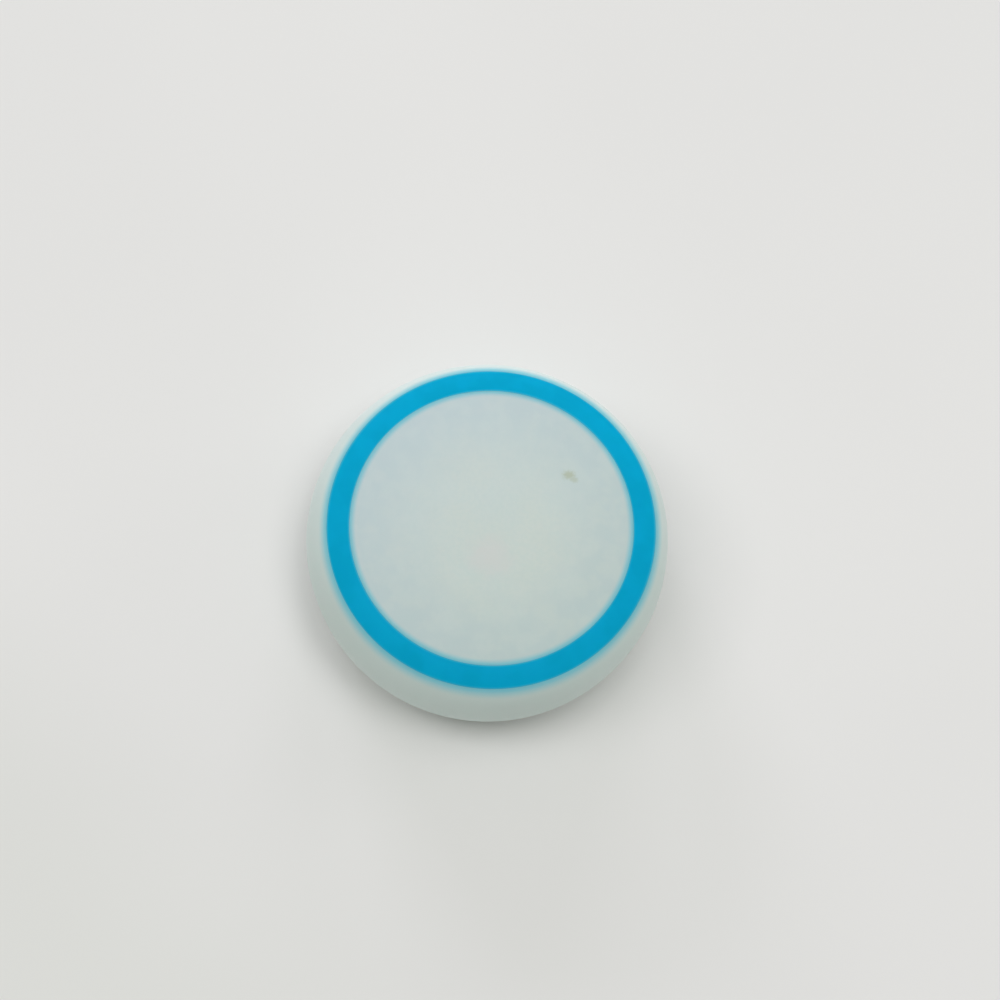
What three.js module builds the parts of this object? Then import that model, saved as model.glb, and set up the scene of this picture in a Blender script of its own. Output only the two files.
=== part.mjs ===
// Silicone thumb grip: a domed cap that stretches over the head of a controller's thumbstick.
// The cap is a short round cup, open at the base, with an inward lip that holds it on the stick.
// A ring of coloured silicone fills a groove in its top edge, flush with the surface around it.
// Lengths are in millimetres, the base stands on z = 0 and the domed top faces +Z.

import * as THREE from 'three';

// Outside of the cap. The belly is the widest circle of its side wall.
const capDiameter = 21.0;
const capHeight = 8.0;
const bellyHeight = 4.1;
const baseInset = 1.8;         // from the belly in to the edge of the flat base
const crownRise = 0.4;         // from the ring's inner edge up to the middle of the top

// Coloured ring in the top edge.
const ringInset = 1.05;        // from the belly in to the ring's outer edge
const ringWidth = 1.3;
const ringDrop = 0.31;         // how far the ring's face falls from its inner to its outer edge
const ringDepth = 0.8;         // from the ring's inner edge down to the floor of its groove

// Pocket for the head of the thumbstick, and the lip around its mouth.
const wallThickness = 1.5;     // side wall at the belly
const roofThickness = 2.0;     // at the middle of the top
const lipThickness = 1.5;
const lipReach = 1.7;          // from the pocket's wall in to the mouth
const roofCornerRadius = 1.0;  // where the pocket's wall meets its roof
const lipCornerRadius = 0.5;   // where the pocket's wall meets the lip
const lipEdgeRadius = 0.5;     // rounding of the mouth's two edges

// Smoothness of the turned surfaces.
const stepsAround = 72;
const stepsOnWall = 10;
const stepsOnTop = 5;
const stepsOnRounding = 4;

const silicone = new THREE.MeshStandardMaterial({ color: 0xcddad5, roughness: 0.62, metalness: 0 });
const cyanSilicone = new THREE.MeshStandardMaterial({ color: 0x00a4d3, roughness: 0.6, metalness: 0 });

// Circles and levels that the two pieces share.
const bellyRadius = capDiameter / 2;
const ringOuterRadius = bellyRadius - ringInset;
const ringInnerRadius = ringOuterRadius - ringWidth;
const ringInnerLevel = capHeight - crownRise;
const ringOuterLevel = ringInnerLevel - ringDrop;
const grooveLevel = ringInnerLevel - ringDepth;

// The crown is a shallow piece of a sphere, and its slope at the ring carries on into the ring.
const crownRadius = (ringInnerRadius ** 2 + crownRise ** 2) / (2 * crownRise);
const crownSlope = Math.asin(ringInnerRadius / crownRadius);
const ringChordSlope = Math.atan2(ringDrop, ringWidth);
const shoulderSlope = 2 * ringChordSlope - crownSlope;

const UP = Math.PI / 2;

// Points along an ellipse with semi-axes a and b, between two angles counted from the outward direction.
function ellipsePoints(centreRadius, centreLevel, a, b, from, to, steps) {
  const clockwise = to < from;
  const curve = new THREE.EllipseCurve(centreRadius, centreLevel, a, b, from, to, clockwise);
  return curve.getPoints(steps);
}

// A quarter or less of a circle, between two angles.
function roundingPoints(centreRadius, centreLevel, radius, from, to) {
  return ellipsePoints(centreRadius, centreLevel, radius, radius, from, to, stepsOnRounding);
}

// Turns a profile of (radius, level) points around the Z axis into a closed body.
function turned(profile) {
  const geometry = new THREE.LatheGeometry(profile, stepsAround);
  geometry.rotateX(UP);
  return geometry;
}

// Inside of the cup, from the middle of the roof out, down the wall, over the lip and out of the mouth.
function pocketProfile() {
  const pocketRadius = bellyRadius - wallThickness;
  const roofLevel = capHeight - roofThickness;
  const mouthRadius = pocketRadius - lipReach;
  const edgeRadius = mouthRadius + lipEdgeRadius;
  const upperEdgeLevel = lipThickness - lipEdgeRadius;
  return [
    new THREE.Vector2(0, roofLevel),
    ...roundingPoints(pocketRadius - roofCornerRadius, roofLevel - roofCornerRadius, roofCornerRadius, UP, 0),
    ...roundingPoints(pocketRadius - lipCornerRadius, lipThickness + lipCornerRadius, lipCornerRadius, 0, -UP),
    ...roundingPoints(edgeRadius, upperEdgeLevel, lipEdgeRadius, UP, 2 * UP),
    ...roundingPoints(edgeRadius, lipEdgeRadius, lipEdgeRadius, 2 * UP, 3 * UP),
  ];
}

// Outside of the wall below the belly: a quarter of an ellipse, flat at the base and upright at the belly.
function lowerWallProfile() {
  return ellipsePoints(bellyRadius - baseInset, bellyHeight, baseInset, bellyHeight, -UP, 0, stepsOnWall);
}

// Outside of the wall above the belly: the ellipse that is upright at the belly
// and meets the ring's outer edge at the slope that the ring ends with.
function upperWallProfile() {
  const rise = ringOuterLevel - bellyHeight;
  const share = (Math.tan(shoulderSlope) * ringInset) / rise;
  const cosine = share / (1 - share);
  const shoulderAngle = Math.acos(cosine);
  const a = ringInset / (1 - cosine);
  const b = rise / Math.sin(shoulderAngle);
  const wall = ellipsePoints(bellyRadius - a, bellyHeight, a, b, 0, shoulderAngle, stepsOnWall);
  return [...wall.slice(1, -1), new THREE.Vector2(ringOuterRadius, ringOuterLevel)];
}

// Groove under the ring, from its outer edge down, in and up to its inner edge.
function grooveProfile() {
  return [
    new THREE.Vector2(ringOuterRadius, grooveLevel),
    new THREE.Vector2(ringInnerRadius, grooveLevel),
    new THREE.Vector2(ringInnerRadius, ringInnerLevel),
  ];
}

// Top of the cap inside the ring, up to the middle.
function crownProfile() {
  const centreLevel = capHeight - crownRadius;
  const arc = ellipsePoints(0, centreLevel, crownRadius, crownRadius, UP - crownSlope, UP, stepsOnTop);
  return [...arc.slice(1, -1), new THREE.Vector2(0, capHeight)];
}

// Face of the ring, from its outer edge up to its inner edge, tangent to the crown there.
function ringFaceProfile() {
  const chord = Math.hypot(ringWidth, ringDrop);
  const faceRadius = chord / (2 * Math.sin(ringChordSlope - crownSlope));
  const centreRadius = ringInnerRadius - faceRadius * Math.sin(crownSlope);
  const centreLevel = ringInnerLevel - faceRadius * Math.cos(crownSlope);
  const from = UP - shoulderSlope;
  const to = UP - crownSlope;
  const arc = ellipsePoints(centreRadius, centreLevel, faceRadius, faceRadius, from, to, stepsOnTop);
  return [
    new THREE.Vector2(ringOuterRadius, ringOuterLevel),
    ...arc.slice(1, -1),
    new THREE.Vector2(ringInnerRadius, ringInnerLevel),
  ];
}

// The whole cap is moulded in one piece, so it is one turned body.
function makeCap() {
  const profile = [
    ...pocketProfile(),
    ...lowerWallProfile(),
    ...upperWallProfile(),
    ...grooveProfile(),
    ...crownProfile(),
  ];
  const cap = new THREE.Mesh(turned(profile), silicone);
  cap.name = 'grip_cap';
  return cap;
}

// The ring fills the groove from wall to wall.
function makeRing() {
  const floorInner = new THREE.Vector2(ringInnerRadius, grooveLevel);
  const floorOuter = new THREE.Vector2(ringOuterRadius, grooveLevel);
  const ring = new THREE.Mesh(turned([floorInner, floorOuter, ...ringFaceProfile(), floorInner]), cyanSilicone);
  ring.name = 'colour_ring';
  return ring;
}

const group = new THREE.Group();
group.add(makeCap(), makeRing());

export default group;
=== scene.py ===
# %% [markdown]
# A silicone thumb grip, dressed
#
# The part is a soft cap, 21 mm across, that stretches over the head of a controller's thumbstick.
# It is made of two colours of silicone rubber. The milky cap is moulded first, with a groove in
# its top edge, and a cyan silicone is then moulded into the groove, flush with the surface.
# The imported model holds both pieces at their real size. This file gives them their fine surface,
# their finishes, a table to stand on, soft light and the camera.

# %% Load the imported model
import bpy
import numpy as np
from mathutils import Euler, Matrix, Vector


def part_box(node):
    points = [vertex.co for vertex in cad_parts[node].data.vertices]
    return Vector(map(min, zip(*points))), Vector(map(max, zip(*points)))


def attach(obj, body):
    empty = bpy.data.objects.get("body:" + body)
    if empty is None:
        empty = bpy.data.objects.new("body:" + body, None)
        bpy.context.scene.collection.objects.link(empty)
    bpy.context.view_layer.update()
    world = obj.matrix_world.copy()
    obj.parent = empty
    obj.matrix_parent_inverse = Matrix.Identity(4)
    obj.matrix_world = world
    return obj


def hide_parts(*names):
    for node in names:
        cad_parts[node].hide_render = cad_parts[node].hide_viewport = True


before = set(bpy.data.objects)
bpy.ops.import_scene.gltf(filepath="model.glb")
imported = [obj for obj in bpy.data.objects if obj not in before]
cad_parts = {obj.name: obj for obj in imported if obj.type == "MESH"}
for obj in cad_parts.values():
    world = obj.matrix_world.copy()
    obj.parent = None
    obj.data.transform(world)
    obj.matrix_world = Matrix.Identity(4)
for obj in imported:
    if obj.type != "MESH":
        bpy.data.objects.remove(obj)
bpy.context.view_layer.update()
print("nodes:", sorted(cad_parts))

# %% [markdown]
# Sizes
#
# Blender counts in metres, and a cap this small is easier to think of in millimetres, so its
# lengths are written as numbers of MM. Only the table and the lamps keep their sizes in metres.
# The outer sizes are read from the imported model: the widest circle, the height, and the ring's
# outer radius and levels. The sizes inside a piece can't be read from a box, so they are written
# here once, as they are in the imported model.

# %% Sizes read from the model, and the section's own sizes
MM = 0.001

cap_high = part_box("grip_cap")[1]
ring_low, ring_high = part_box("colour_ring")
belly_radius = cap_high.x
cap_height = cap_high.z
ring_outer_radius = ring_high.x
ring_inner_level = ring_high.z
groove_level = ring_low.z

ring_width = 1.3 * MM
ring_drop = 0.31 * MM
belly_height = 4.1 * MM
base_inset = 1.8 * MM
wall_thickness = 1.5 * MM
roof_thickness = 2.0 * MM
lip_thickness = 1.5 * MM
lip_reach = 1.7 * MM
roof_corner = 1.0 * MM
lip_corner = 0.5 * MM
lip_edge = 0.5 * MM

ring_inner_radius = ring_outer_radius - ring_width
ring_outer_level = ring_inner_level - ring_drop
print("cap", round(2 * belly_radius / MM, 2), "x", round(cap_height / MM, 2), "mm")

# %% [markdown]
# The section of the cap
#
# A turned part is its section carried round an axis. The section could be drawn by hand as a
# Bezier curve, but arcs and ellipses written as formulas keep every stretch smooth, and they
# repeat the sizes above exactly. Each stretch below is an array of (radius, level) pairs.

# %% Arcs and straight stretches as arrays
QUARTER = np.pi / 2


def arc(centre, reach, start, stop, count):
    """Points of an ellipse: centre + (reach[0] cos t, reach[1] sin t), t from start to stop."""
    t = np.linspace(start, stop, count)
    return np.stack([centre[0] + reach[0] * np.cos(t), centre[1] + reach[1] * np.sin(t)], axis=1)


def straight(first, last, count):
    """Points spread evenly from first to last."""
    t = np.linspace(0.0, 1.0, count)[:, None]
    return (1 - t) * np.array(first) + t * np.array(last)


def joined(*stretches):
    """The stretches end to end, with a point that repeats the one before it left out."""
    points = np.concatenate(stretches)
    step = np.linalg.norm(np.diff(points, axis=0), axis=1)
    return points[np.concatenate([[True], step > 1e-9])]


# %% [markdown]
# Crown, ring face and side wall
#
# The top is a very shallow piece of a sphere: 0.4 mm of rise over 16 mm. The ring's face takes
# over its slope and turns down faster, and the side wall is two quarter ellipses that meet at the
# widest circle, the belly. The upper one is chosen so that it leaves the ring at the ring's slope.

# %% Radii and slopes of the outside
crown_rise = cap_height - ring_inner_level
crown_radius = (ring_inner_radius**2 + crown_rise**2) / (2 * crown_rise)
crown_slope = np.arcsin(ring_inner_radius / crown_radius)
ring_chord_slope = np.arctan2(ring_drop, ring_width)
shoulder_slope = 2 * ring_chord_slope - crown_slope
ring_face_radius = np.hypot(ring_width, ring_drop) / (2 * np.sin(ring_chord_slope - crown_slope))
print("slopes in degrees:", np.degrees([crown_slope, shoulder_slope]).round(1))


def upper_wall(count):
    """The ellipse that is upright at the belly and has the shoulder's slope at the ring's edge."""
    inset = belly_radius - ring_outer_radius
    rise = ring_outer_level - belly_height
    share = np.tan(shoulder_slope) * inset / rise
    cosine = share / (1 - share)
    angle = np.arccos(cosine)
    across = inset / (1 - cosine)
    reach = (across, rise / np.sin(angle))
    return arc((belly_radius - across, belly_height), reach, 0, angle, count)


def lower_wall(count):
    """A quarter ellipse, flat where it leaves the base and upright at the belly."""
    centre = (belly_radius - base_inset, belly_height)
    return arc(centre, (base_inset, belly_height), -QUARTER, 0, count)


def crown(count):
    """The shallow sphere of the top, from the ring's inner edge to the axis."""
    centre = (0.0, cap_height - crown_radius)
    return arc(centre, (crown_radius, crown_radius), QUARTER - crown_slope, QUARTER, count)


def ring_face(count):
    """The arc from the ring's outer edge up to its inner edge, tangent to the crown there."""
    centre = (
        ring_inner_radius - ring_face_radius * np.sin(crown_slope),
        ring_inner_level - ring_face_radius * np.cos(crown_slope),
    )
    reach = (ring_face_radius, ring_face_radius)
    return arc(centre, reach, QUARTER - shoulder_slope, QUARTER - crown_slope, count)


# %% [markdown]
# Seams
#
# Where two shots of silicone meet, each one's edge is very slightly round, so a hair-thin line
# shows between them. It is cut into the mesh: the last bit of each edge is replaced by a small
# dip. The mould's halves meet at the belly and leave a fine raised line there, the parting line.

# %% Small forms along the section
seam_radius = 0.008 * MM
seam_gap = 0.001 * MM
parting_height = 0.02 * MM
parting_width = 0.09 * MM


def eased_corner(corner, before, after, radius, count):
    """A rounded corner: a quadratic curve from radius before the corner to radius past it."""
    corner, before, after = np.array(corner), np.array(before), np.array(after)
    start = corner + radius * (before - corner) / np.linalg.norm(before - corner)
    stop = corner + radius * (after - corner) / np.linalg.norm(after - corner)
    t = np.linspace(0.0, 1.0, count)[:, None]
    return (1 - t) ** 2 * start + 2 * t * (1 - t) * corner + t**2 * stop


def trimmed(points, corner, radius):
    """The points that lie further than radius from the corner."""
    return points[np.linalg.norm(points - np.array(corner), axis=1) > radius]


def with_parting_line(points):
    """The wall with a bell-shaped ridge at the belly: radius + height / (1 + (dz / width)^2)^2."""
    off = (points[:, 1] - belly_height) / parting_width
    ridge = parting_height / (1 + off**2) ** 2
    return points + np.stack([ridge, np.zeros_like(ridge)], axis=1)


# %% [markdown]
# The whole section of each piece
#
# The cap's section starts on the axis at the pocket's roof, runs down the pocket's wall, over the
# lip, out of the mouth, under the base, up the side wall, through the groove and over the crown
# back to the axis. The solid stays on the left all the way, so that the faces point outwards.
# The last number given to a stretch is how many points it gets: more where it bends or is seen.

# %% Section of the pocket
pocket_radius = belly_radius - wall_thickness
roof_level = cap_height - roof_thickness
mouth_radius = pocket_radius - lip_reach
edge_radius = mouth_radius + lip_edge


def pocket():
    """Roof, corner, wall, corner, lip and the two rounded edges of the mouth."""
    roof_end = pocket_radius - roof_corner
    lip_end = pocket_radius - lip_corner
    wall_foot = lip_thickness + lip_corner
    return joined(
        straight((0, roof_level), (roof_end, roof_level), 14),
        arc((roof_end, roof_level - roof_corner), (roof_corner, roof_corner), QUARTER, 0, 9),
        straight((pocket_radius, roof_level - roof_corner), (pocket_radius, wall_foot), 8),
        arc((lip_end, wall_foot), (lip_corner, lip_corner), 0, -QUARTER, 7),
        straight((lip_end, lip_thickness), (edge_radius, lip_thickness), 5),
        arc((edge_radius, lip_thickness - lip_edge), (lip_edge, lip_edge), QUARTER, 2 * QUARTER, 8),
        straight((mouth_radius, lip_thickness - lip_edge), (mouth_radius, lip_edge), 4),
        arc((edge_radius, lip_edge), (lip_edge, lip_edge), 2 * QUARTER, 3 * QUARTER, 8),
        straight((edge_radius, 0), (belly_radius - base_inset, 0), 5),
    )


# %% Section of the cap
def cap_section():
    """The section of the cap, from the middle of the pocket's roof to the middle of the crown."""
    outer_edge = (ring_outer_radius, ring_outer_level)
    inner_edge = (ring_inner_radius, ring_inner_level)
    wall = with_parting_line(joined(lower_wall(34), upper_wall(44)))
    top = crown(46)
    wall_end = trimmed(wall, outer_edge, seam_radius)
    top_start = trimmed(top, inner_edge, seam_radius)
    outer_foot = (ring_outer_radius, groove_level)
    inner_foot = (ring_inner_radius, groove_level)
    return joined(
        pocket(),
        wall_end,
        eased_corner(outer_edge, wall_end[-1], outer_foot, seam_radius, 5),
        straight((ring_outer_radius, ring_outer_level - 2 * seam_radius), outer_foot, 4),
        straight(outer_foot, inner_foot, 6),
        straight(inner_foot, (ring_inner_radius, ring_inner_level - 2 * seam_radius), 4),
        eased_corner(inner_edge, inner_foot, top_start[0], seam_radius, 5),
        top_start,
    )


# %% Section of the ring
def ring_section():
    """The closed section of the ring, a hair inside its groove, with its two upper edges eased."""
    outer = ring_outer_radius - seam_gap
    inner = ring_inner_radius + seam_gap
    floor = groove_level + seam_gap
    outer_edge = (outer, ring_outer_level)
    inner_edge = (inner, ring_inner_level)
    face = ring_face(26)
    face = trimmed(trimmed(face, outer_edge, seam_radius), inner_edge, seam_radius)
    return joined(
        straight((inner, floor), (outer, floor), 8),
        straight((outer, floor), (outer, ring_outer_level - 2 * seam_radius), 5),
        eased_corner(outer_edge, (outer, floor), face[0], seam_radius, 5),
        face,
        eased_corner(inner_edge, face[-1], (inner, floor), seam_radius, 5),
        straight((inner, ring_inner_level - 2 * seam_radius), (inner, floor), 5)[:-1],
    )


# %% [markdown]
# From section to mesh
#
# Blender's Screw modifier could turn the section, but a grid computed with numpy can carry more
# than a plain turn. Soft silicone is never quite true: it lies a few hundredths of a millimetre
# off round, and here its foot has settled a little to the left of its top. The same small offsets
# are used for both pieces, so they stay flush with each other.

# %% Turn a section into a closed mesh
around = 320
sway = 0.03 * MM
foot_shift = -0.13 * MM


def off_round(radius, angle):
    """How far the rubber lies off its true circle, at a radius r and an angle a.

    Two slow waves run round the part and grow outwards:
    sway (r / belly radius)^2 (0.6 cos(2 a + 0.7) + 0.4 cos(3 a - 1.1)).
    """
    share = (radius / belly_radius) ** 2
    return sway * share * (0.6 * np.cos(2 * angle + 0.7) + 0.4 * np.cos(3 * angle - 1.1))


def askew(level):
    """How far the rubber at a level lies off along X.

    It is nothing from the ring's outer edge up and the whole foot_shift from the belly down, with
    a smooth step d^2 (3 - 2 d) between, where d goes from 0 to 1.
    """
    down = np.clip((ring_outer_level - level) / (ring_outer_level - belly_height), 0, 1)
    return foot_shift * down**2 * (3 - 2 * down)


def turned(name, section, closed):
    """A mesh with the point (r cos a + d, r sin a, z) for each section point (r, z) and angle a.

    The radius r carries the waves of off_round, and d is the offset of askew. A closed section
    makes a ring of quads. An open one starts and ends on the axis, and each of its ends is one
    vertex with a fan of triangles round it.
    """
    rim = section if closed else section[1:-1]
    angle = np.arange(around) * 2 * np.pi / around
    radius = rim[:, :1] + off_round(rim[:, :1], angle[None, :])
    level = np.broadcast_to(rim[:, 1:], radius.shape)
    x = radius * np.cos(angle) + askew(level)
    grid = np.stack([x, radius * np.sin(angle), level], axis=2).reshape(-1, 3)
    rows = len(rim)
    column = np.arange(around)[None, :]
    following = (column + 1) % around
    row = np.arange(rows if closed else rows - 1)[:, None]
    start = row * around
    beyond = (row + 1) % rows * around
    corners = [start + column, start + following, beyond + following, beyond + column]
    faces = np.stack(corners, axis=2).reshape(-1, 4).tolist()
    if not closed:
        column, following = column[0], following[0]
        ends = [[askew(z), 0, z] for z in (section[0, 1], section[-1, 1])]
        bottom = np.full(around, len(grid))
        top = np.full(around, len(grid) + 1)
        grid = np.concatenate([grid, ends])
        last = (rows - 1) * around
        faces += np.stack([following, column, bottom], axis=1).tolist()
        faces += np.stack([last + column, last + following, top], axis=1).tolist()
    mesh = bpy.data.meshes.new(name)
    mesh.from_pydata(grid.tolist(), [], faces)
    mesh.polygons.foreach_set("use_smooth", np.ones(len(mesh.polygons), bool))
    mesh.update()
    piece = bpy.data.objects.new(name, mesh)
    bpy.context.scene.collection.objects.link(piece)
    print(name, "has", len(faces), "faces")
    return piece


# %% Make the two pieces
cap = turned("silicone_cap", cap_section(), closed=False)
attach(cap, "root")
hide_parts("grip_cap")

ring = turned("cyan_ring", ring_section(), closed=True)
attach(ring, "root")
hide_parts("colour_ring")

# %% [markdown]
# Nodes with few words
#
# A material is a small graph of nodes. One function adds a node of any kind, sets its properties,
# sets its inputs or links them to other nodes, and gives back the output that is wanted, so that a
# graph reads like a formula. Colours are written as hex codes, as a designer writes them, and
# turned into the linear values that the renderer works in.

# %% Helpers for materials
def linear(hex_code):
    """An sRGB hex code as linear (r, g, b, 1).

    Each channel c becomes c / 12.92 up to 0.04045, and ((c + 0.055) / 1.055)^2.4 above it.
    """
    srgb = np.array([int(hex_code[i : i + 2], 16) for i in (1, 3, 5)]) / 255
    curve = np.where(srgb <= 0.04045, srgb / 12.92, ((srgb + 0.055) / 1.055) ** 2.4)
    return (*curve.tolist(), 1.0)


def add_node(tree, kind, settings=None, take=0, **inputs):
    """Adds a node and gives back its output of the name or number take.

    An input is named in words, with _ for a space, or by the letter i and its number. It is linked
    where the value is another node's output, and set to the value otherwise.
    """
    node = tree.nodes.new(kind)
    for name, value in (settings or {}).items():
        setattr(node, name, value)
    for key, value in inputs.items():
        name = int(key[1:]) if key[1:].isdigit() else key.replace("_", " ")
        if isinstance(value, bpy.types.NodeSocket):
            tree.links.new(value, node.inputs[name])
        else:
            node.inputs[name].default_value = value
    return node.outputs[take] if node.outputs else node


def new_material(name):
    """A node material with an empty tree, and the tree to fill."""
    material = bpy.data.materials.new(name)
    material.use_nodes = True
    material.node_tree.nodes.clear()
    return material, material.node_tree


# %% [markdown]
# Patterns in the rubber
#
# Every pattern reads the object's own coordinates, which are in metres, so its sizes are real ones.
# A picture wrapped round the cap would need seams and stretch near the middle, and a pattern
# that fills space needs neither. Each function below is one thing that can be seen on the real
# cap: clouds in the mix, the grain that the mould left, and the distance from the coloured ring.

# %% Patterns that both colours share
SMOOTH = {"interpolation_type": "SMOOTHSTEP"}
COLOUR = {"data_type": "RGBA"}


def clouds(tree, place, size, low=0.0, high=1.0):
    """Soft clouds from low to high, each about size across.

    Noise keeps near the middle of its range, so the stretch from 0.35 to 0.65 is drawn out to
    low and high with a smooth step.
    """
    noise = add_node(tree, "ShaderNodeTexNoise", Vector=place, Scale=1 / size, Detail=2.0)
    return add_node(
        tree, "ShaderNodeMapRange", SMOOTH,
        Value=noise, From_Min=0.35, From_Max=0.65, To_Min=low, To_Max=high,
    )


slow_width = 12
slow_rise = 4.0


def mould_grain(tree, place, size, height):
    """The normal of a blasted mould's fine grain, on a slow unevenness that is wider and higher."""
    slow_scale = 1 / (slow_width * size)
    grain = add_node(tree, "ShaderNodeTexNoise", Vector=place, Scale=1 / size, Detail=3.0)
    slow = add_node(tree, "ShaderNodeTexNoise", Vector=place, Scale=slow_scale, Detail=1.0)
    relief = add_node(
        tree, "ShaderNodeMath", {"operation": "MULTIPLY_ADD"},
        i0=slow, i1=slow_rise, i2=grain,
    )
    return add_node(tree, "ShaderNodeBump", Height=relief, Distance=height, Strength=1.0)


ring_middle = (ring_inner_radius + ring_outer_radius) / 2


def radius_of(tree, place):
    """A point's distance from the axis: the length of its place with the level taken out."""
    flat = add_node(tree, "ShaderNodeVectorMath", {"operation": "MULTIPLY"}, i0=place, i1=(1, 1, 0))
    return add_node(tree, "ShaderNodeVectorMath", {"operation": "LENGTH"}, take="Value", i0=flat)


def distance_from_ring(tree, place):
    """How far a point lies from the ring, which in section is a box.

    With p the point's radius and level, it is the length of max(|p - middle of box| - half box, 0).
    """
    middle = (ring_middle, (groove_level + ring_inner_level) / 2, 0)
    half = (ring_width / 2, (ring_inner_level - groove_level) / 2, 0)
    level = add_node(tree, "ShaderNodeSeparateXYZ", take="Z", Vector=place)
    point = add_node(tree, "ShaderNodeCombineXYZ", X=radius_of(tree, place), Y=level)
    off = add_node(tree, "ShaderNodeVectorMath", {"operation": "SUBTRACT"}, i0=point, i1=middle)
    off = add_node(tree, "ShaderNodeVectorMath", {"operation": "ABSOLUTE"}, i0=off)
    off = add_node(tree, "ShaderNodeVectorMath", {"operation": "SUBTRACT"}, i0=off, i1=half)
    off = add_node(tree, "ShaderNodeVectorMath", {"operation": "MAXIMUM"}, i0=off, i1=(0, 0, 0))
    return add_node(tree, "ShaderNodeVectorMath", {"operation": "LENGTH"}, take="Value", i0=off)


# %% [markdown]
# Milky silicone rubber
#
# The cap is translucent silicone with a mineral powder stirred in, which makes it milky and gives
# it a faint blue-green tint. Light goes in about a millimetre and comes out beside where it went
# in, so edges look soft: that is subsurface scattering. The steel mould was blasted with grit, so
# the rubber is matt. Grit leaves a grain of about 0.03 mm, finer than this view can show, and it
# is drawn three times as coarse. The mix is never quite even: it has slow clouds and grains of
# powder. Towards the far left the colour is painted a little bluer: that is painted light, the
# bluer window light that falls from the far left.
#
# Cyan light from the ring wanders into the milky rubber too. It gives a bright fringe about half
# a millimetre wide along both edges of the ring, wider on the near wall, and a faint, cloudy haze
# over the outer part of the top. Blender doesn't carry light from one mesh into the next under
# their skins, so both are painted. Light that goes into the cap beside the ring would leave by
# the groove's wall and be lost, as if the ring were a hole, so it goes in less deep there.

# %% Colours and sizes of the milky rubber
milky = linear("#CAD5CF")
milky_cloud = linear("#CCD5CD")
cloud_size = 3.5 * MM

milky_powder = linear("#C2D1CC")
powder_size = 0.25 * MM
powder_share = 0.3

# Painted light: the colour drifts bluer towards the far left, for the bluer window light from
# there.
painted_window_blue = linear("#C7D5E0")
window_blue_towards = (-0.7, 0.7, 0)
window_blue_reach = 8.0 * MM
window_blue_share = 0.3

cyan_haze = linear("#BECDCB")
haze_start = ring_inner_radius - 6.0 * MM
haze_end = ring_inner_radius + 0.3 * MM
haze_cloud_size = 1.1 * MM
haze_least = 0.75
haze_most = 1.2

# Painted light: the side wall is painted a little lighter and bluer than the top, for light glowing
# through the thin translucent wall.
wall_painted_lighter = linear("#C9D7D3")

cyan_fringe = linear("#7AC3D0")
fringe_reach = 0.4 * MM
near_wall_fringe_reach = 0.55 * MM
far_wall_fringe_reach = 0.42 * MM

silicone_ior = 1.41
roughness_least = 0.56
roughness_most = 0.66
handled_size = 2.2 * MM
grain_size = 0.1 * MM
grain_height = 0.0025 * MM

light_depth = 1.0 * MM
light_depth_at_ring = 0.12 * MM
depth_reach = 1.2 * MM
depth_by_colour = (1.0, 1.15, 1.1)

# %% [markdown]
# Wear and dirt
#
# The thumb rests on the middle of the top. It has rubbed the rubber a little smoother there, and
# skin oil has made it a little warmer in colour. Silicone holds on to crumbs too: this cap has a
# small flat khaki speck, with a fainter one beside it. All three are spots with a ragged edge,
# and they are painted only, because they are thinner than a hair.

# %% Ragged spots on the top
worn_centre = (0.2, -1.8)
worn_reach = (1.6, 1.4)
worn_raggedness = 1.0
worn_warm = linear("#CED2CF")
worn_cover = 0.8
worn_smoother = 0.08

speck_khaki = linear("#9AA068")
speck_centre = (3.94, 3.69)
speck_reach = (0.48, 0.38)
speck_cover = 0.4
tail_centre = (4.28, 3.46)
tail_reach = (0.3, 0.24)
tail_cover = 0.26
speck_raggedness = 0.15


def spot(tree, place, centre, reach, raggedness, cover):
    """The share cover inside a ragged spot on the top, and 0 outside it.

    It is a smooth step, from 0.7 to 1.6, of |p - centre| / reach plus noise of half a unit on
    average. The centre, the reach and the noise's size, raggedness, are in millimetres.
    """
    x, y = (v * MM for v in centre)
    middle = (x, y, cap_height - (x**2 + y**2) / (2 * crown_radius))
    shrink = tuple(1 / (v * MM) for v in (*reach, max(reach)))
    off = add_node(tree, "ShaderNodeVectorMath", {"operation": "SUBTRACT"}, i0=place, i1=middle)
    off = add_node(tree, "ShaderNodeVectorMath", {"operation": "MULTIPLY"}, i0=off, i1=shrink)
    far = add_node(tree, "ShaderNodeVectorMath", {"operation": "LENGTH"}, take="Value", i0=off)
    noise_scale = 1 / (raggedness * MM)
    noise = add_node(tree, "ShaderNodeTexNoise", Vector=place, Scale=noise_scale, Detail=2.0)
    far = add_node(tree, "ShaderNodeMath", {"operation": "ADD"}, i0=noise, i1=far)
    return add_node(
        tree, "ShaderNodeMapRange", SMOOTH,
        Value=far, From_Min=0.7, From_Max=1.6, To_Min=cover, To_Max=0.0,
    )


# %% Where each tint of the milky rubber lies
cap_material, tree = new_material("milky_silicone_rubber")
place = add_node(tree, "ShaderNodeTexCoord", take="Object")
radius = radius_of(tree, place)
gap = distance_from_ring(tree, place)

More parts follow.
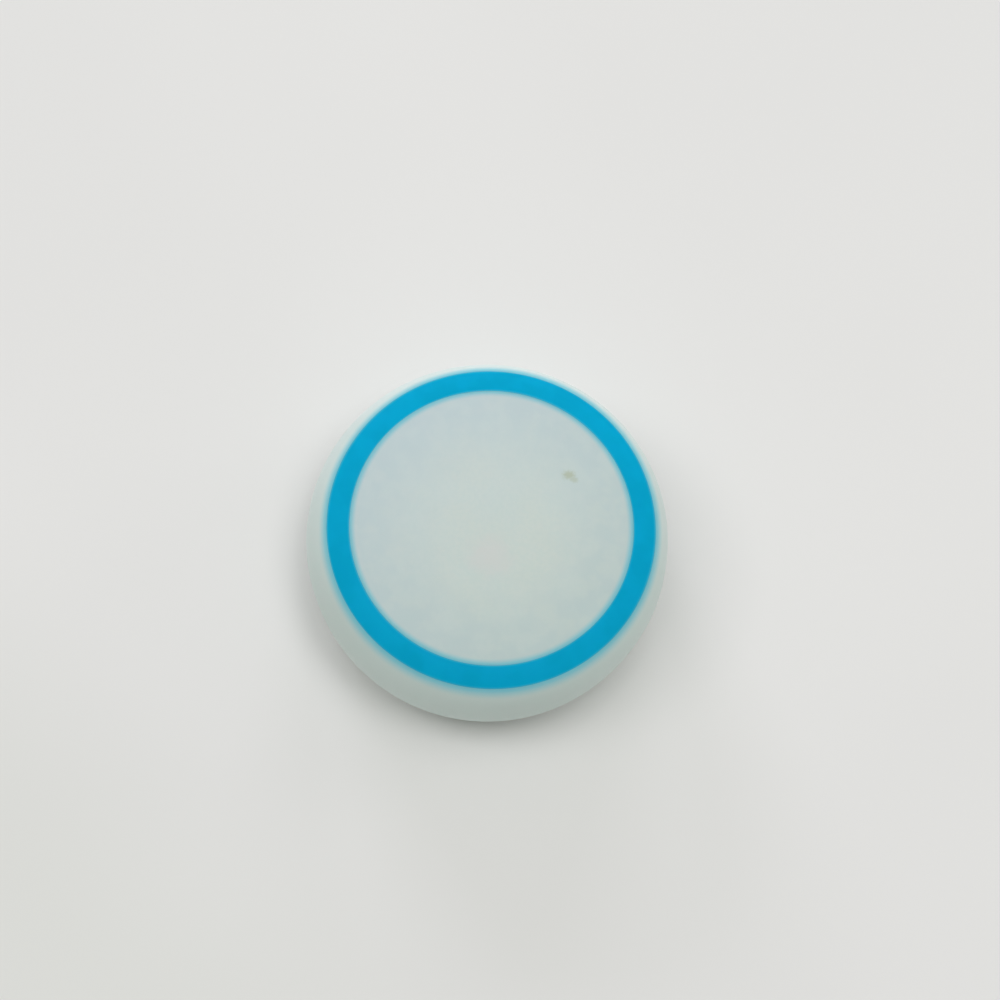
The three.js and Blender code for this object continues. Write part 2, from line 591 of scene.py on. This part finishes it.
cloud = clouds(tree, place, cloud_size)
powder = clouds(tree, place, powder_size, high=powder_share)
haze = add_node(
    tree, "ShaderNodeMapRange", SMOOTH,
    Value=radius, From_Min=haze_start, From_Max=haze_end,
)
haze_clouds = clouds(tree, place, haze_cloud_size, haze_least, haze_most)
haze = add_node(tree, "ShaderNodeMath", {"operation": "MULTIPLY"}, i0=haze, i1=haze_clouds)
# Painted light: how far a point lies towards the far left sets the painted bluer window tint.
along = add_node(
    tree, "ShaderNodeVectorMath", {"operation": "DOT_PRODUCT"}, take="Value",
    i0=place, i1=window_blue_towards,
)
window_blue = add_node(
    tree, "ShaderNodeMapRange",
    Value=along, From_Min=-window_blue_reach, From_Max=window_blue_reach, To_Max=window_blue_share,
)
# From the ring's inner edge out to its outer edge: this sets the painted lighter side wall and the
# fringe's reach.
wall = add_node(
    tree, "ShaderNodeMapRange",
    Value=radius, From_Min=ring_inner_radius, From_Max=ring_outer_radius,
)
wall_reach = add_node(
    tree, "ShaderNodeMapRange",
    Value=add_node(tree, "ShaderNodeSeparateXYZ", take="Y", Vector=place),
    From_Min=-ring_outer_radius, From_Max=ring_outer_radius,
    To_Min=near_wall_fringe_reach, To_Max=far_wall_fringe_reach,
)
reach = add_node(
    tree, "ShaderNodeMapRange",
    Value=wall, To_Min=fringe_reach, To_Max=wall_reach,
)
fringe = add_node(
    tree, "ShaderNodeMapRange", SMOOTH,
    Value=gap, From_Max=reach, To_Min=1.0, To_Max=0.0,
)
worn = spot(tree, place, worn_centre, worn_reach, worn_raggedness, worn_cover)
speck = spot(tree, place, speck_centre, speck_reach, speck_raggedness, speck_cover)
tail = spot(tree, place, tail_centre, tail_reach, speck_raggedness, tail_cover)
dirt = add_node(tree, "ShaderNodeMath", {"operation": "MAXIMUM"}, i0=speck, i1=tail)

# %% [markdown]
# Each tint is laid over the ones before it by its share, as thin glazes would be. The order
# matters only where two meet: the fringe covers the haze, and dirt covers everything.

# %% The material of the cap
colour = add_node(tree, "ShaderNodeMix", COLOUR, 2, i0=cloud, i6=milky, i7=milky_cloud)
colour = add_node(tree, "ShaderNodeMix", COLOUR, 2, i0=powder, i6=colour, i7=milky_powder)
colour = add_node(tree, "ShaderNodeMix", COLOUR, 2, i0=haze, i6=colour, i7=cyan_haze)
# The bluer tint towards the far left is painted light.
colour = add_node(tree, "ShaderNodeMix", COLOUR, 2, i0=window_blue, i6=colour, i7=painted_window_blue)
# The side wall's lighter, bluer tint is painted light.
colour = add_node(tree, "ShaderNodeMix", COLOUR, 2, i0=wall, i6=colour, i7=wall_painted_lighter)
colour = add_node(tree, "ShaderNodeMix", COLOUR, 2, i0=fringe, i6=colour, i7=cyan_fringe)
colour = add_node(tree, "ShaderNodeMix", COLOUR, 2, i0=worn, i6=colour, i7=worn_warm)
colour = add_node(tree, "ShaderNodeMix", COLOUR, 2, i0=dirt, i6=colour, i7=speck_khaki)

roughness = add_node(
    tree, "ShaderNodeMath", {"operation": "MULTIPLY_ADD"},
    i0=worn, i1=-worn_smoother,
    i2=clouds(tree, place, handled_size, roughness_least, roughness_most),
)
depth = add_node(
    tree, "ShaderNodeMapRange",
    Value=gap, From_Max=depth_reach, To_Min=light_depth_at_ring, To_Max=light_depth,
)
shader = add_node(
    tree, "ShaderNodeBsdfPrincipled", {"subsurface_method": "RANDOM_WALK"},
    Base_Color=colour, Roughness=roughness, IOR=silicone_ior,
    Normal=mould_grain(tree, place, grain_size, grain_height),
    Subsurface_Weight=1.0, Subsurface_Radius=depth_by_colour, Subsurface_Scale=depth,
)
add_node(tree, "ShaderNodeOutputMaterial", Surface=shader)
cap.data.materials.append(cap_material)
print("milky rubber has", len(tree.nodes), "nodes")

# %% [markdown]
# Cyan silicone rubber
#
# The ring is the same silicone with so much pigment that light hardly enters it, and its face has
# the same matt grain. Dense blue pigment swallows red light completely. Its skin is duller than
# the milky rubber's, so the specular level is low. Pigment paste never mixes in quite evenly,
# which shows as slow, faint clouds, and the edges are paler where milky rubber laps over them.

# %% The material of the ring
cyan = linear("#00A4CD")
cyan_cloud = linear("#00A0C7")
cyan_lapped = linear("#3AAECB")
pigment_cloud_size = 1.6 * MM
lap_width = 0.12 * MM
pigment_specular = 0.05
pigment_scatter = 0.4
pigment_depth = 0.1 * MM
pigment_depth_by_colour = (0.2, 0.6, 1.0)

ring_material, tree = new_material("cyan_silicone_rubber")
place = add_node(tree, "ShaderNodeTexCoord", take="Object")
radius = radius_of(tree, place)
off = add_node(tree, "ShaderNodeMath", {"operation": "SUBTRACT"}, i0=radius, i1=ring_middle)
off = add_node(tree, "ShaderNodeMath", {"operation": "ABSOLUTE"}, i0=off)
lap = add_node(
    tree, "ShaderNodeMapRange", SMOOTH,
    Value=off, From_Min=ring_width / 2 - lap_width, From_Max=ring_width / 2,
)
pigment = clouds(tree, place, pigment_cloud_size)
colour = add_node(tree, "ShaderNodeMix", COLOUR, 2, i0=pigment, i6=cyan, i7=cyan_cloud)
colour = add_node(tree, "ShaderNodeMix", COLOUR, 2, i0=lap, i6=colour, i7=cyan_lapped)
roughness = add_node(
    tree, "ShaderNodeMapRange",
    Value=pigment, To_Min=roughness_least, To_Max=roughness_most,
)
shader = add_node(
    tree, "ShaderNodeBsdfPrincipled", {"subsurface_method": "RANDOM_WALK"},
    Base_Color=colour, Roughness=roughness,
    IOR=silicone_ior, Specular_IOR_Level=pigment_specular,
    Normal=mould_grain(tree, place, grain_size, grain_height),
    Subsurface_Weight=pigment_scatter, Subsurface_Radius=pigment_depth_by_colour,
    Subsurface_Scale=pigment_depth,
)
add_node(tree, "ShaderNodeOutputMaterial", Surface=shader)
ring.data.materials.append(ring_material)
print("cyan rubber has", len(tree.nodes), "nodes")

# %% [markdown]
# The table
#
# A pale matt board. It carries the soft shadow that seats the cap. It has wide faint clouds, and
# beyond 17 mm towards the near left it is painted a little darker: a painted shade that falls
# over the table's near left corner.

# %% Floor
floor_half = 1.5
corners = [(x * floor_half, y * floor_half, 0) for x, y in ((-1, -1), (1, -1), (1, 1), (-1, 1))]
floor_mesh = bpy.data.meshes.new("table_top")
floor_mesh.from_pydata(corners, [], [(0, 1, 2, 3)])
floor = bpy.data.objects.new("table_top", floor_mesh)
bpy.context.scene.collection.objects.link(floor)

board_light = linear("#E3E3E1")
board_dull = linear("#E1E1DF")
board_cloud_size = 40 * MM
board_roughness = 0.9

# Painted shade: the board darkens towards its near left corner.
board_painted_shade = linear("#DBDCD8")
painted_shade_towards = (-0.59, -0.81, 0)
painted_shade_start = 17 * MM
painted_shade_end = 34 * MM

floor_material, tree = new_material("pale_board")
place = add_node(tree, "ShaderNodeTexCoord", take="Object")
board_clouds = clouds(tree, place, board_cloud_size)
colour = add_node(tree, "ShaderNodeMix", COLOUR, 2, i0=board_clouds, i6=board_light, i7=board_dull)
along = add_node(
    tree, "ShaderNodeVectorMath", {"operation": "DOT_PRODUCT"}, take="Value",
    i0=place, i1=painted_shade_towards,
)
# Painted shade: how far a point lies towards the near left sets the board's painted shade.
corner = add_node(
    tree, "ShaderNodeMapRange", SMOOTH,
    Value=along, From_Min=painted_shade_start, From_Max=painted_shade_end,
)
colour = add_node(tree, "ShaderNodeMix", COLOUR, 2, i0=corner, i6=colour, i7=board_painted_shade)
shader = add_node(
    tree, "ShaderNodeBsdfPrincipled",
    Base_Color=colour, Roughness=board_roughness,
)
add_node(tree, "ShaderNodeOutputMaterial", Surface=shader)
floor.data.materials.append(floor_material)

# %% [markdown]
# Light
#
# The photograph has the light of a room. Two fifths of it come evenly from all round and two
# fifths from wide bright areas high above. The rest comes from a wall on the left, and low from
# the far side and the right. Real softboxes could be copied one by one, but what matters is each
# one's share of the light on the table. So a lamp is given by its place and its share, and its
# power is worked out from them. The shares add up to about one, so that a colour renders about as
# it is written.

# %% Lamps
lamp_distance = 1.0
lamp_side = 0.35
daylight = (1.0, 1.0, 1.01)
sky_blue = (1.0, 0.95, 1.09)


def softbox(name, azimuth, elevation, share, colour=daylight):
    """A square lamp that faces the cap. Azimuth counts from +X towards +Y, in degrees.

    A lamp of power P at distance d and elevation e lights the table with P sin(e) / (pi d)^2 of
    what turns a white table white, so P = share (pi d)^2 / sin(e).
    """
    a, e = np.radians([azimuth, elevation])
    toward = Vector((np.cos(a) * np.cos(e), np.sin(a) * np.cos(e), np.sin(e)))
    lamp = bpy.data.lights.new(name, "AREA")
    lamp.shape = "SQUARE"
    lamp.size = lamp_side
    lamp.color = colour
    lamp.energy = share * (np.pi * lamp_distance) ** 2 / np.sin(e)
    box = bpy.data.objects.new(name, lamp)
    turn = toward.to_track_quat("Z", "Y").to_matrix().to_4x4()
    box.matrix_world = Matrix.Translation(toward * lamp_distance) @ turn
    box.visible_camera = False
    bpy.context.scene.collection.objects.link(box)
    return box


softbox("ceiling_right", 0, 75, 0.162)
softbox("ceiling_far", 60, 75, 0.112)
softbox("ceiling_left", 180, 75, 0.111)
softbox("wall_left", 180, 55, 0.097)
softbox("window_far_left", 120, 15, 0.059, sky_blue)
softbox("window_far", 90, 15, 0.041, sky_blue)
softbox("window_right", 30, 15, 0.024)

# %% The even light of the room
room_share = 0.41
room_tint = (0.995, 1.0, 0.95, 1.0)

world = bpy.data.worlds.new("even_room")
bpy.context.scene.world = world
world.use_nodes = True
room = world.node_tree.nodes["Background"]
room.inputs["Color"].default_value = room_tint
room.inputs["Strength"].default_value = room_share

# %% [markdown]
# The camera
#
# The photograph was taken from almost straight above, tilted 15 degrees towards the near side and
# turned 9 degrees about the line of sight. A long lens keeps the ring's two halves nearly alike.

# %% Camera
image_side = 1000
pixels_per_mm = 17.43
camera_distance = 180 * MM
tilt = np.radians(15.3)
roll = np.radians(9.05)
ring_centre_pixel = (491.4, 527.9)
sensor_width = 36.0
nearest_seen = 10 * MM

focal_pixels = pixels_per_mm * camera_distance / MM
target = Vector((0, 0, ring_outer_level))
back = Vector((0, -np.sin(tilt), np.cos(tilt)))
aim = back.to_track_quat("Z", "Y").to_matrix()
aim = aim @ Matrix.Rotation(roll, 3, "Z")
across = np.arctan((ring_centre_pixel[0] - image_side / 2) / focal_pixels)
down = np.arctan((ring_centre_pixel[1] - image_side / 2) / focal_pixels)
aim = aim @ Euler((down, across, 0)).to_matrix()

lens = bpy.data.cameras.new("camera")
lens.sensor_width = sensor_width
lens.lens = focal_pixels / image_side * sensor_width
lens.clip_start = nearest_seen
camera = bpy.data.objects.new("camera", lens)
camera.matrix_world = Matrix.Translation(target + back * camera_distance) @ aim.to_4x4()
bpy.context.scene.collection.objects.link(camera)
bpy.context.scene.camera = camera
bpy.context.scene.view_settings.view_transform = "Standard"
print("lens", round(lens.lens, 1), "mm")
